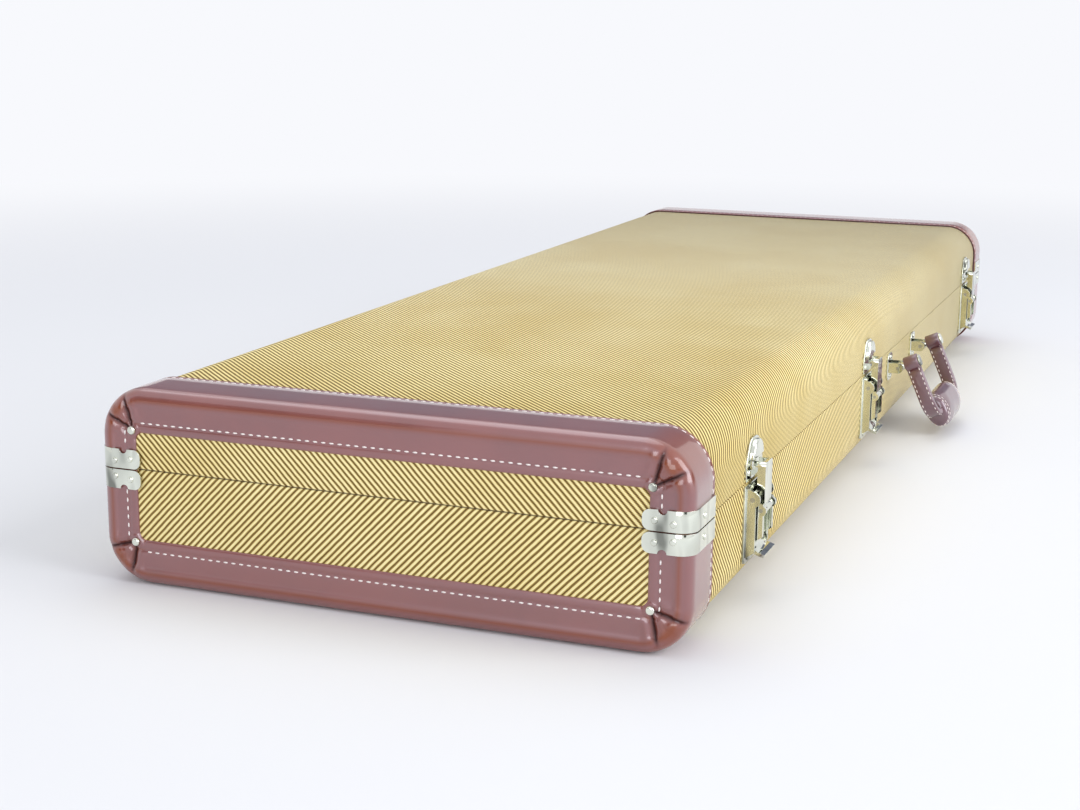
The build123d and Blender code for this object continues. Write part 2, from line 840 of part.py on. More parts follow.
pad_room = bar(room_inset + pad_clear)
layer("base_shell", shell_inset, lining_inset, base_edge, Keep.BOTTOM)
layer("lid_shell", shell_inset, lining_inset, lid_edge, Keep.TOP)
base_cloth()
layer("lid_tweed", tweed_inset, shell_inset, lid_edge, Keep.TOP)
layer("base_lining", lining_inset, room_inset, base_edge, Keep.BOTTOM)
lid_lining_edge = split_height + lip_rise + lip_clear
layer("lid_lining", lining_inset, room_inset, lid_lining_edge, Keep.TOP)
for end_tag, end_side in (("head", -1), ("body", 1)):
    leather_end(f"base_leather_{end_tag}", end_side, base_edge, Keep.BOTTOM)
    leather_end(f"lid_leather_{end_tag}", end_side, lid_edge, Keep.TOP)
corner_pieces()
lip()
padding()
accessory_flap()
hinges()
latches()
handle_mounts()
handle()
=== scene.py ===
# %% [markdown]
# # An electric guitar case in tweed and leather
# The case lies on its base, seen from its head end. This lesson builds its looks around a
# frame that already holds every hard piece at its real size: plywood shells, nickel latches,
# hinges and clamps. What is soft or sewn is modelled here: the tweed covering, the leather
# ends with their pleats and stitches, the handle and the plush inside.

# %% Load the frame
import json
import math

import bmesh
import bpy
from mathutils import Matrix, Vector


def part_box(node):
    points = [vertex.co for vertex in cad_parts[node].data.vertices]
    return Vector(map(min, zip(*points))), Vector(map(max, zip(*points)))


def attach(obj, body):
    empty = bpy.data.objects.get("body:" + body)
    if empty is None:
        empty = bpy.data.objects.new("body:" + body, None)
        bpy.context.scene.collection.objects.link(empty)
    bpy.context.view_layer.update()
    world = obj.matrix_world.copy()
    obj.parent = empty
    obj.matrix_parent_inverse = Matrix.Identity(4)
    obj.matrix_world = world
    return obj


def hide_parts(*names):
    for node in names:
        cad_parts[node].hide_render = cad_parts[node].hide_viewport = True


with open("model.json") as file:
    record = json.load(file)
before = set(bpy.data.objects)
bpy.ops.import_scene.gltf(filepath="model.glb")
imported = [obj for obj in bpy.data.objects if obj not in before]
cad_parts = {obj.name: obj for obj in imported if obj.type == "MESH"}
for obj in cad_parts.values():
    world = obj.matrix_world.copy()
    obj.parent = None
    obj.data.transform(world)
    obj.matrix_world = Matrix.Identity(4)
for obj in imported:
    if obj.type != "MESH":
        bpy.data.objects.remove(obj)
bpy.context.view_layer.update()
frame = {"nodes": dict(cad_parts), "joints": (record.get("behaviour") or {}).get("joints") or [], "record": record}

nodes = frame["nodes"]
scene = bpy.context.scene
MM = 0.001
print("nodes in the frame:", len(nodes))

# %% [markdown]
# ## Sizes
# The leather ends give the overall box, so the frame itself tells the length, width and
# height, how far the leather reaches and how thick it is. The rest are a saddler's
# measures, in millimetres: the roll, the window of each end and the seam round it. Places
# within a hair of each other count as the same.

# %% Sizes from the frame and the maker's measures
leather_low, leather_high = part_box("base_leather_body")
lid_low, lid_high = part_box("lid_leather_body")
half_length = leather_high[0] / MM
half_width = leather_high[1] / MM
height = lid_high[2] / MM
base_edge = leather_high[2] / MM
lid_edge = lid_low[2] / MM
band_width = half_length - leather_low[0] / MM
leather_thick = half_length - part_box("base_tweed")[1][0] / MM
section_radius = 30.0
end_roll = 9.0
window = {"half": 159.5, "low": 28.0, "high": 93.8, "radius": 5.0}
seam = {"half": 166.5, "low": 21.0, "high": 100.0, "radius": 8.0}
hair = 0.01
print("case", round(2 * half_length), round(2 * half_width), round(height, 1))

# %% [markdown]
# ## Camera
# The photograph was fitted by its straight edges: the camera stands low beyond the head end
# and to the latch side, looks along the case and a little down. Its focal length is given
# for a sensor 36 mm wide.

# %% Camera
camera_data = bpy.data.cameras.new("camera")
camera_data.sensor_width = 36.0
camera_data.lens = 60.55
camera_data.clip_end = 200.0
camera = bpy.data.objects.new("camera", camera_data)
camera.location = (-1.4056, -0.4411, 0.3479)
camera.rotation_euler = [math.radians(a) for a in (77.276, -0.475, -68.626)]
scene.collection.objects.link(camera)
scene.camera = camera
print("camera lens", camera_data.lens)

# %% [markdown]
# ## Node helpers
# The studio and the finishes share a few small steps: a maths node, a colour ramp, a noise,
# a bump and a blend. Each helper wires one of them and returns its output socket.

# %% Node helpers
def maths(tree, operation, first, second=None, third=None):
    """One Math node; each input is a number or a socket."""
    node = tree.nodes.new("ShaderNodeMath")
    node.operation = operation
    for index, value in enumerate((first, second, third)):
        if value is None:
            continue
        if isinstance(value, (int, float)):
            node.inputs[index].default_value = value
        else:
            tree.links.new(value, node.inputs[index])
    return node.outputs[0]


def ramp(tree, factor, stops):
    """A colour ramp with stops of (position, colour)."""
    node = tree.nodes.new("ShaderNodeValToRGB")
    while len(node.color_ramp.elements) < len(stops):
        node.color_ramp.elements.new(0.5)
    for element, (position, colour) in zip(node.color_ramp.elements, stops):
        element.position = position
        element.color = colour
    tree.links.new(factor, node.inputs[0])
    return node.outputs["Color"]


def noise(tree, coordinates, scale, detail=2.0, roughness=0.5, stretch=None):
    """Noise on coordinates, with an optional stretch along each axis."""
    if stretch:
        mapping = tree.nodes.new("ShaderNodeMapping")
        mapping.inputs["Scale"].default_value = stretch
        tree.links.new(coordinates, mapping.inputs["Vector"])
        coordinates = mapping.outputs[0]
    node = tree.nodes.new("ShaderNodeTexNoise")
    node.inputs["Scale"].default_value = scale
    node.inputs["Detail"].default_value = detail
    node.inputs["Roughness"].default_value = roughness
    tree.links.new(coordinates, node.inputs["Vector"])
    return node.outputs["Fac"]


def bump(tree, height_socket, distance, strength=1.0, below=None):
    """A bump of a real depth in metres."""
    node = tree.nodes.new("ShaderNodeBump")
    node.inputs["Distance"].default_value = distance
    node.inputs["Strength"].default_value = strength
    tree.links.new(height_socket, node.inputs["Height"])
    if below is not None:
        tree.links.new(below, node.inputs["Normal"])
    return node.outputs["Normal"]


def place_of(tree):
    """Object coordinates, in metres."""
    return tree.nodes.new("ShaderNodeTexCoord").outputs["Object"]


def blend_colours(tree, factor, first, second, kind="MIX"):
    """Mix two colours by a number or a socket; inputs 6 and 7 are the two colours."""
    node = tree.nodes.new("ShaderNodeMix")
    node.data_type = "RGBA"
    node.blend_type = kind
    for index, value in ((0, factor), (6, first), (7, second)):
        if isinstance(value, (int, float, tuple)):
            node.inputs[index].default_value = value
        else:
            tree.links.new(value, node.inputs[index])
    return node.outputs[2]

# %% [markdown]
# ## Studio
# A pale floor fades into a pale backdrop inside a bright surround. Three soft lamps light
# the case from the latch side, from overhead and from beyond its head end. Grey cards that
# the camera doesn't see give bright metal something to mirror.

# %% Studio
def shade(red, green, blue):
    """A colour picked on a screen, as the linear values a shader takes."""
    parts = []
    for value in (red, green, blue):
        value /= 255
        parts.append(value / 12.92 if value <= 0.04045 else ((value + 0.055) / 1.055) ** 2.4)
    return (*parts, 1.0)


def new_material(name):
    """An empty node material with its Principled shader."""
    material = bpy.data.materials.new(name)
    material.use_nodes = True
    return material, material.node_tree, material.node_tree.nodes["Principled BSDF"]


backdrop_colour = shade(248, 249, 253)
world = bpy.data.worlds.new("studio")
scene.world = world
world.use_nodes = True
tree = world.node_tree
tree.nodes.clear()
rays = tree.nodes.new("ShaderNodeLightPath").outputs
surround = tree.nodes.new("ShaderNodeBackground")
surround.inputs["Color"].default_value = (0.93, 0.95, 1.0, 1.0)
surround.inputs["Strength"].default_value = 0.72
backdrop = tree.nodes.new("ShaderNodeBackground")
backdrop.inputs["Color"].default_value = backdrop_colour
seen = maths(tree, "MAXIMUM", rays["Is Camera Ray"], rays["Is Glossy Ray"])
seen = maths(tree, "MAXIMUM", seen, rays["Is Transmission Ray"])
mix = tree.nodes.new("ShaderNodeMixShader")
output = tree.nodes.new("ShaderNodeOutputWorld")
tree.links.new(seen, mix.inputs[0])
tree.links.new(surround.outputs[0], mix.inputs[1])
tree.links.new(backdrop.outputs[0], mix.inputs[2])
tree.links.new(mix.outputs[0], output.inputs["Surface"])


def area_lamp(name, place, target, size, power):
    """A square soft lamp that faces a point."""
    data = bpy.data.lights.new(name, "AREA")
    data.size = size
    data.energy = power
    lamp = bpy.data.objects.new(name, data)
    lamp.location = place
    aim = Vector(target) - Vector(place)
    lamp.rotation_euler = aim.to_track_quat("-Z", "Y").to_euler()
    scene.collection.objects.link(lamp)


area_lamp("side_softbox", (-0.4, -3.0, 1.5), (0, 0, 0), 2.4, 74)
area_lamp("top_softbox", (0.4, 0.6, 3.0), (0, 0, 0), 2.6, 26)
area_lamp("front_softbox", (-3.6, -0.3, 0.9), (0, 0, 0), 1.8, 30)


def set_out(name, bm, material):
    """Turn a bmesh into a thing of the studio."""
    mesh = bpy.data.meshes.new(name)
    bm.to_mesh(mesh)
    bm.free()
    mesh.materials.append(material)
    made = bpy.data.objects.new(name, mesh)
    scene.collection.objects.link(made)
    return made


floor_half = 40.0
fade_start = 0.75
fade_end = 2.2
floor_bm = bmesh.new()
bmesh.ops.create_grid(floor_bm, x_segments=2, y_segments=2, size=floor_half)
floor_material, tree, shader = new_material("studio_floor")
shader.inputs["Base Color"].default_value = shade(230, 231, 234)
shader.inputs["Roughness"].default_value = 0.8
shader.inputs["Specular IOR Level"].default_value = 0.1
distance = tree.nodes.new("ShaderNodeVectorMath")
distance.operation = "LENGTH"
tree.links.new(tree.nodes.new("ShaderNodeTexCoord").outputs["Object"], distance.inputs[0])
fade = tree.nodes.new("ShaderNodeMapRange")
fade.interpolation_type = "SMOOTHSTEP"
fade.inputs["From Min"].default_value = fade_start
fade.inputs["From Max"].default_value = fade_end
tree.links.new(distance.outputs["Value"], fade.inputs["Value"])
far_floor = tree.nodes.new("ShaderNodeEmission")
far_floor.inputs["Color"].default_value = backdrop_colour
floor_mix = tree.nodes.new("ShaderNodeMixShader")
tree.links.new(fade.outputs["Result"], floor_mix.inputs[0])
tree.links.new(shader.outputs[0], floor_mix.inputs[1])
tree.links.new(far_floor.outputs[0], floor_mix.inputs[2])
floor_output = next(node for node in tree.nodes if node.type == "OUTPUT_MATERIAL")
tree.links.new(floor_mix.outputs[0], floor_output.inputs["Surface"])
floor = set_out("floor", floor_bm, floor_material)


def card(name, place, target, width, tall, colour):
    """A matt studio card beside the view, which gives bright metal something to mirror."""
    bm = bmesh.new()
    bmesh.ops.create_grid(bm, x_segments=1, y_segments=1, size=0.5)
    bmesh.ops.scale(bm, vec=(width, tall, 1), verts=bm.verts)
    material, tree, shader = new_material(name)
    shader.inputs["Base Color"].default_value = colour
    shader.inputs["Roughness"].default_value = 0.9
    made = set_out(name, bm, material)
    facing = (Vector(target) - Vector(place)).to_track_quat("Z", "Y").to_matrix().to_4x4()
    made.matrix_world = Matrix.Translation(place) @ facing
    made.visible_camera = False


card("rear_card", (5.5, 2.0, 2.6), (0, 0, 0.4), 7.0, 2.8, shade(120, 124, 140))
card("dark_card_front", (-2.7, 1.5, 0.7), (-0.5, 0, 0), 1.0, 1.2, shade(52, 58, 52))
card("dark_card_side", (1.5, -2.5, 0.5), (0, 0, 0), 1.8, 0.6, shade(58, 62, 56))
card("dark_card_low", (-1.9, -1.3, 0.25), (-0.5, 0, 0), 0.5, 0.3, shade(70, 74, 68))
scene.view_settings.view_transform = "Standard"

# %% [markdown]
# ## Tweed
# The covering is a varnished twill: cream ribs about three millimetres apart run at a slant,
# with dark brown yarn in the valleys, and each rib is a chain of short slanted stitches. The
# pattern has to turn over the round edges with the cloth, so every tweed piece carries a
# UV map laid out as the cloth was cut: U counts ribs and V runs along them.

# %% Tweed finish
rib_wander = 0.16
twists_along = 3.0
rib_share = 0.78
twist_share = 0.24
fibre_share = 0.34


def tweed_finish():
    """Varnished twill on a UV map whose U counts ribs and whose V is ribs along."""
    material, tree, shader = new_material("tweed")
    cloth = tree.nodes.new("ShaderNodeUVMap")
    cloth.uv_map = "cloth"
    parts = tree.nodes.new("ShaderNodeSeparateXYZ")
    tree.links.new(cloth.outputs[0], parts.inputs[0])
    across, along = parts.outputs[0], parts.outputs[1]
    wander = noise(tree, cloth.outputs[0], 0.35, 1.0)
    shifted = maths(tree, "MULTIPLY_ADD", wander, rib_wander, across)
    angle = maths(tree, "MULTIPLY", shifted, 2 * math.pi)
    rib = maths(tree, "MULTIPLY_ADD", maths(tree, "COSINE", angle), 0.5, 0.5)
    slant = maths(tree, "ADD", across, maths(tree, "MULTIPLY", along, twists_along))
    twist = maths(tree, "SINE", maths(tree, "MULTIPLY", slant, 2 * math.pi))
    twist = maths(tree, "MULTIPLY_ADD", twist, 0.5, 0.5)
    fibre = noise(tree, cloth.outputs[0], 9.0, 3.0, 0.65, (1.0, 0.6, 1.0))
    tone = maths(tree, "MULTIPLY_ADD", twist, twist_share, maths(tree, "MULTIPLY", rib, rib_share))
    tone = maths(tree, "MULTIPLY_ADD", maths(tree, "SUBTRACT", fibre, 0.5), fibre_share, tone)
    yarn = ramp(
        tree,
        tone,
        (
            (0.10, shade(86, 64, 22)),
            (0.32, shade(146, 116, 50)),
            (0.52, shade(226, 202, 122)),
            (0.82, shade(252, 240, 186)),
        ),
    )
    age = noise(tree, place_of(tree), 7.0, 3.0, 0.6)
    stain = ramp(tree, age, ((0.35, shade(243, 236, 214)), (0.62, shade(255, 255, 255))))
    tree.links.new(blend_colours(tree, 1.0, yarn, stain, "MULTIPLY"), shader.inputs["Base Color"])
    relief = maths(tree, "MULTIPLY_ADD", twist, 0.25, maths(tree, "MULTIPLY", rib, 0.75))
    tree.links.new(bump(tree, relief, 0.00045, 0.75), shader.inputs["Normal"])
    shader.inputs["Roughness"].default_value = 0.5
    shader.inputs["Specular IOR Level"].default_value = 0.3
    shader.inputs["Sheen Weight"].default_value = 0.28
    shader.inputs["Sheen Roughness"].default_value = 0.45
    shader.inputs["Sheen Tint"].default_value = shade(252, 250, 236)
    return material


tweed = tweed_finish()
print("tweed ready")

# %% [markdown]
# ## Leather, thread, metal and plush
# The leather is a glossy red brown with a fine grain. Two numbers on each vertex turn it a paler,
# less glossy tan along the crest, on the rivet tongues and over the band's corners, and paint
# shade nearly black deep in each pleat and along the band's cut edge.
# Thread is a pinkish white linen. The metal is bright nickel, almost a mirror, softened by
# faint buffing, with dark reflections painted in streaks into its colour. Plush is a short dark red pile.

# %% Leather, thread, metal and plush finishes
def leather_finish(name, tone):
    """Glossy grained leather in a brown of its own."""
    material, tree, shader = new_material(name)
    place = place_of(tree)
    patches = noise(tree, place, 14.0, 4.0, 0.6)
    darker = tuple(0.84 * part for part in tone[:3]) + (1.0,)
    lighter = tuple(min(1.0, 1.14 * part) for part in tone[:3]) + (1.0,)
    colour = ramp(tree, patches, ((0.32, darker), (0.55, tone), (0.78, lighter)))
    marks = {}
    # The first mark paints a paler tan; the second is painted shade, nearly black, in the pleats and at the band's
    # cut edge.
    for attribute, stain in (("worn", shade(134, 66, 36)), ("crease", shade(40, 16, 12))):
        reading = tree.nodes.new("ShaderNodeAttribute")
        reading.attribute_name = attribute
        marks[attribute] = reading.outputs["Fac"]
        colour = blend_colours(tree, reading.outputs["Fac"], colour, stain)
    tree.links.new(colour, shader.inputs["Base Color"])
    cells = tree.nodes.new("ShaderNodeTexVoronoi")
    cells.inputs["Scale"].default_value = 1400.0
    tree.links.new(place, cells.inputs["Vector"])
    grain = bump(tree, cells.outputs["Distance"], 0.00006, 0.35)
    waves = bump(tree, noise(tree, place, 60.0, 2.0), 0.0005, 0.30, grain)
    tree.links.new(waves, shader.inputs["Normal"])
    gloss = ramp(tree, patches, ((0.3, (0.30,) * 3 + (1,)), (0.75, (0.42,) * 3 + (1,))))
    tree.links.new(gloss, shader.inputs["Roughness"])
    shine = maths(tree, "MULTIPLY_ADD", marks["worn"], -0.8, 0.85)
    open_to_light = maths(tree, "SUBTRACT", 1.0, marks["crease"])
    tree.links.new(maths(tree, "MULTIPLY", shine, open_to_light), shader.inputs["Specular IOR Level"])
    tree.links.new(open_to_light, shader.inputs["Coat Weight"])
    shader.inputs["IOR"].default_value = 1.7
    shader.inputs["Specular Tint"].default_value = (0.88, 0.84, 1.0, 1.0)
    shader.inputs["Coat IOR"].default_value = 1.6
    shader.inputs["Coat Roughness"].default_value = 0.1
    return material


def thread_finish():
    """Waxed linen thread with a twist."""
    material, tree, shader = new_material("thread")
    strands = noise(tree, place_of(tree), 2600.0, 1.0)
    colour = ramp(tree, strands, ((0.3, shade(240, 226, 222)), (0.7, shade(255, 250, 248))))
    tree.links.new(colour, shader.inputs["Base Color"])
    tree.links.new(bump(tree, strands, 0.0001, 0.5), shader.inputs["Normal"])
    shader.inputs["Roughness"].default_value = 0.55
    return material


def metal_finish(name, tone, roughness):
    """Plated metal with faint buffing, dents and dark reflections painted in streaks into its colour."""
    material, tree, shader = new_material(name)
    place = place_of(tree)
    smears = noise(tree, place, 45.0, 4.0, 0.65)
    low = (roughness * 0.7,) * 3 + (1,)
    high = (roughness * 1.6,) * 3 + (1,)
    tree.links.new(ramp(tree, smears, ((0.3, low), (0.75, high))), shader.inputs["Roughness"])
    # Painted reflection: dark streaks in the colour stand in for the dark surroundings that the nickel mirrors.
    streaks = noise(tree, place, 60.0, 2.0, 0.5, (1.0, 1.0, 0.35))
    dark_reflection = tuple(0.30 * part for part in tone[:3]) + (1.0,)
    middle = tuple(0.80 * part for part in tone[:3]) + (1.0,)
    stops = ((0.34, dark_reflection), (0.42, middle), (0.60, tone), (0.66, middle))
    tree.links.new(ramp(tree, streaks, stops), shader.inputs["Base Color"])
    shader.inputs["Metallic"].default_value = 1.0
    ripples = bump(tree, noise(tree, place, 30.0, 1.0), 0.0022, 0.5)
    dents = bump(tree, noise(tree, place, 90.0, 2.0), 0.0003, 0.2, ripples)
    tree.links.new(dents, shader.inputs["Normal"])
    return material


def plush_finish():
    """Short pile that catches light at a slant and lies in soft patches."""
    material, tree, shader = new_material("plush")
    place = place_of(tree)
    lie = noise(tree, place, 16.0, 3.0, 0.6)
    pile = noise(tree, place, 900.0, 2.0, 0.7)
    soft = maths(tree, "MULTIPLY_ADD", pile, 0.35, maths(tree, "MULTIPLY", lie, 0.65))
    colour = ramp(tree, soft, ((0.3, shade(84, 18, 26)), (0.7, shade(138, 38, 46))))
    tree.links.new(colour, shader.inputs["Base Color"])
    nap = bump(tree, pile, 0.0006, 0.6)
    tree.links.new(bump(tree, lie, 0.0012, 0.4, nap), shader.inputs["Normal"])
    shader.inputs["Roughness"].default_value = 0.9
    shader.inputs["Sheen Weight"].default_value = 0.7
    shader.inputs["Sheen Roughness"].default_value = 0.4
    shader.inputs["Sheen Tint"].default_value = shade(226, 130, 132)
    return material


def plywood_finish():
    """Thin birch plies, seen on the edge of the shells."""
    material, tree, shader = new_material("plywood")
    place = place_of(tree)
    streaks = noise(tree, place, 30.0, 4.0, 0.6, (1.0, 9.0, 14.0))
    colour = ramp(tree, streaks, ((0.3, shade(150, 112, 70)), (0.7, shade(206, 170, 120))))
    tree.links.new(colour, shader.inputs["Base Color"])
    tree.links.new(bump(tree, streaks, 0.0004, 0.4), shader.inputs["Normal"])
    shader.inputs["Roughness"].default_value = 0.65
    return material


leather = leather_finish("leather", shade(122, 54, 38))
grip_leather = leather_finish("grip_leather", shade(86, 34, 38))
thread = thread_finish()
nickel = metal_finish("nickel", shade(232, 235, 222), 0.07)
pin_steel = metal_finish("pin_steel", shade(190, 190, 184), 0.28)
plush = plush_finish()
plywood = plywood_finish()
finish_of = {
    "tweed": tweed,
    "leather": leather,
    "grip_leather": grip_leather,
    "plush": plush,
    "plywood": plywood,
    "nickel": nickel,
    "pin_steel": pin_steel,
    "hinge_plate": nickel,
    "rivet_metal": nickel,
}
slot_of = {part["node"]: part["material_slot"] for part in frame["record"]["subparts"]}
for name, node in nodes.items():
    node.data.materials.clear()
    node.data.materials.append(finish_of[slot_of[name]])
print("finishes:", len(finish_of))

# %% [markdown]
# ## Stamped metal
# A real stamping has no knife edges: a thin bright line runs along every one. The metal
# nodes keep their shape and get a small live bevel, after a weld that joins their facets.

# %% Soften the edges of the metal
weld_reach = 1e-6
metal_edge = 0.22
soft_angle = math.radians(35)


def soften(node, width):
    """Weld the facets of a hard piece and round its edges a little."""
    weld = node.modifiers.new("weld", "WELD")
    weld.merge_threshold = weld_reach
    edge = node.modifiers.new("edge", "BEVEL")
    edge.width = width * MM
    edge.segments = 2
    edge.limit_method = "ANGLE"
    edge.angle_limit = soft_angle


metal_slots = ("nickel", "hinge_plate")
for name, node in nodes.items():
    if slot_of[name] in metal_slots:
        soften(node, metal_edge)
print("softened:", sum(slot_of[n] in metal_slots for n in nodes))

# %% [markdown]
# ## Making pieces
# Every new piece ends the same way: its mesh becomes an object at the origin, gets its
# finish, rides on a body and stands for the nodes it replaces.

# %% Helper that finishes a piece
def piece(name, bm, material, body, replaces=(), smooth=True):
    """Turn a bmesh into a finished piece of the object."""
    bmesh.ops.recalc_face_normals(bm, faces=bm.faces)
    mesh = bpy.data.meshes.new(name)
    bm.to_mesh(mesh)
    bm.free()
    mesh.materials.append(material)
    for polygon in mesh.polygons:
        polygon.use_smooth = smooth
    made = bpy.data.objects.new(name, mesh)
    scene.collection.objects.link(made)
    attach(made, body)
    if replaces:
        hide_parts(*replaces)
    return made

# %% [markdown]
# ## Outlines
# The case has one cross section: a rectangle with rounded corners. The leather has the same
# one at its outside and a smaller one at its window, so one function gives any of them with
# the same number of points, and rings can then be joined point to point.

# %% Rounded outline with matching points
flat_steps = 90
corner_steps = 56
flank_steps = 26


def outline(half, low, high, radius):
    """Points (y, z) round a rounded rectangle, clockwise from its upper left corner."""
    points = []
    centres = (
        (-half + radius, high - radius, 180),
        (half - radius, high - radius, 90),
        (half - radius, low + radius, 0),
        (-half + radius, low + radius, -90),
    )
    runs = (flat_steps, flank_steps, flat_steps, flank_steps)
    for index, (cy, cz, start) in enumerate(centres):
        for step in range(corner_steps):
            turn = math.radians(start - 90 * step / corner_steps)
            points.append((cy + radius * math.cos(turn), cz + radius * math.sin(turn)))
        ny, nz = centres[(index + 1) % 4][:2]
        turn = math.radians(start - 90)
        first = (cy + radius * math.cos(turn), cz + radius * math.sin(turn))
        second = (ny + radius * math.cos(turn), nz + radius * math.sin(turn))
        for step in range(runs[index]):
            part = step / runs[index]
            points.append(
                (first[0] + part * (second[0] - first[0]), first[1] + part * (second[1] - first[1]))
            )
    return points


def case_outline(inset):
    """Outline of the case drawn in by inset."""
    return outline(half_width - inset, inset, height - inset, section_radius - inset)


print("points round the case:", len(case_outline(0)))

# %% [markdown]
# ## Tweed wrap
# Each half of the case is covered by one piece of cloth that goes up one side, over the
# round edge and down the other. It is made by extruding the section along the case and
# cutting it at the split. Its UV map measures round the section, so the slanted ribs cross
# the edges unbroken, and on the base they slant the other way, as the maker cut it.

# %% Tweed wrap of the lid and the base
rib_pitch = 2.93
rib_angle = math.radians(46)
cloth_inset = leather_thick
wrap_half_length = half_length - 14.0
wrap_thick = 0.7


def weave(u, v, turn):
    """Cloth coordinates of a point: ribs across and ribs along."""
    across = (u * math.sin(rib_angle) + turn * v * math.cos(rib_angle)) / rib_pitch
    along = (turn * v * math.sin(rib_angle) - u * math.cos(rib_angle)) / rib_pitch
    return across, along
def lay_cloth(bm, woven):
    """Write the cloth map; woven gives the cloth coordinates at a place."""
    layer = bm.loops.layers.uv.new("cloth")
    for face in bm.faces:
        for loop in face.loops:
            loop[layer].uv = woven(*loop.vert.co)


def new_verts(made):
    """The vertices among what an extrusion made."""
    return [item for item in made["geom"] if isinstance(item, bmesh.types.BMVert)]


def ring_edges(bm, ring):
    """The edges that close a ring of vertices."""
    return [bm.edges.get((ring[i - 1], ring[i])) for i in range(len(ring))]


def girth(y, z, upper):
    """Way round the section from its middle, growing to the latch side."""
    flat = half_width - section_radius
    level = height - section_radius if upper else section_radius
    drop = (level - z) if upper else (z - level)
    side = -1 if y > 0 else 1
    radius = section_radius - cloth_inset
    if abs(y) <= flat:
        return -y
    if drop >= 0:
        return side * (flat + radius * math.pi / 2 + drop)
    turn = math.atan2(abs(y) - flat, -drop)
    return side * (flat + radius * turn)


def cut_half(bm, upper):
    """Keep what lies above or below the split."""
    level = lid_edge if upper else base_edge
    bmesh.ops.bisect_plane(
        bm,
        geom=bm.verts[:] + bm.edges[:] + bm.faces[:],
        plane_co=(0, 0, level * MM),
        plane_no=(0, 0, 1),
        clear_inner=upper,
        clear_outer=not upper,
    )


def first_ring(bm, points, depths):
    """A closed ring of vertices, started from a circle; depths are one x per point."""
    ring = bmesh.ops.create_circle(bm, segments=len(points), radius=1.0)["verts"]
    for vert, (y, z), x in zip(ring, points, depths):
        vert.co = (x * MM, y * MM, z * MM)
    return ring


def next_ring(bm, ring, points, depths):
    """Extrude the last ring and put it on the next outline."""
    order = {vert: index for index, vert in enumerate(ring)}
    made = bmesh.ops.extrude_edge_only(bm, edges=ring_edges(bm, ring))
    partner = {}
    for vert in new_verts(made):
        for edge in vert.link_edges:
            other = edge.other_vert(vert)
            if other in order:
                partner[order[other]] = vert
    fresh = [partner[index] for index in range(len(ring))]
    for vert, (y, z), x in zip(fresh, points, depths):
        vert.co = (x * MM, y * MM, z * MM)
    return fresh


def rings_mesh(rings):
    """Mesh through a list of (points, depths) rings."""
    bm = bmesh.new()
    ring = first_ring(bm, *rings[0])
    for points, depths in rings[1:]:
        ring = next_ring(bm, ring, points, depths)
    return bm


def thicken(made, thick):
    """Give a sheet of cloth its thickness, inwards."""
    wall = made.modifiers.new("cloth", "SOLIDIFY")
    wall.thickness = thick * MM
    wall.offset = -1


def tweed_wrap(upper):
    """Cloth round one half of the case."""
    section = case_outline(cloth_inset)
    stations = (-wrap_half_length, 0.0, wrap_half_length)
    bm = rings_mesh([(section, [x] * len(section)) for x in stations])
    cut_half(bm, upper)
    lay_cloth(bm, lambda x, y, z: weave(x / MM, girth(y / MM, z / MM, upper), 1))
    half = "lid" if upper else "base"
    made = piece(f"{half}_cloth_wrap", bm, tweed, half)
    thicken(made, wrap_thick)
    return made


field_gap_along = 1.5
field_gap_across = 0.5
field_round = 1.0


def underside_cloth():
    """Padded field of cloth under the base, level with the leather."""
    bm = bmesh.new()
    bmesh.ops.create_grid(bm, x_segments=1, y_segments=1, size=0.5)
    long = 2 * (half_length - band_width - field_gap_along)
    wide = 2 * (half_width - section_radius - field_gap_across)
    bmesh.ops.scale(bm, vec=(long, wide, 1), verts=bm.verts)
    field = bmesh.ops.extrude_face_region(bm, geom=bm.faces[:])
    bmesh.ops.translate(bm, vec=(0, 0, cloth_inset), verts=new_verts(field))
    bmesh.ops.bevel(
        bm,
        geom=[edge for edge in bm.edges if all(vert.co.z < hair for vert in edge.verts)],
        affect="EDGES",
        offset=field_round,
        segments=3,
        profile=0.5,
        material=-1,
    )
    lay_cloth(bm, lambda x, y, z: weave(x, -y, 1))
    bmesh.ops.scale(bm, vec=(MM, MM, MM), verts=bm.verts)
    piece("base_cloth_underside", bm, tweed, "base")


underside_cloth()
lid_wrap = tweed_wrap(True)
base_wrap = tweed_wrap(False)
print("tweed wrap faces:", len(lid_wrap.data.polygons), len(base_wrap.data.polygons))

# %% [markdown]
# ## Tweed panels in the ends
# Inside the leather window of each end lies a flat panel of the same cloth. On the lid its
# ribs slant one way and on the base the other, and they meet in a herringbone at the split.
# A turned edge along the split makes the dark line there.

# %% Tweed panels of the ends
split_round = 0.5
split_depth = 1.2
panel_margin = 1.5
panel_thick = 0.6


def half_and_tag(end, upper):
    """The half of the case and the tag of the end that a piece belongs to."""
    return "lid" if upper else "base", "body" if end > 0 else "head"


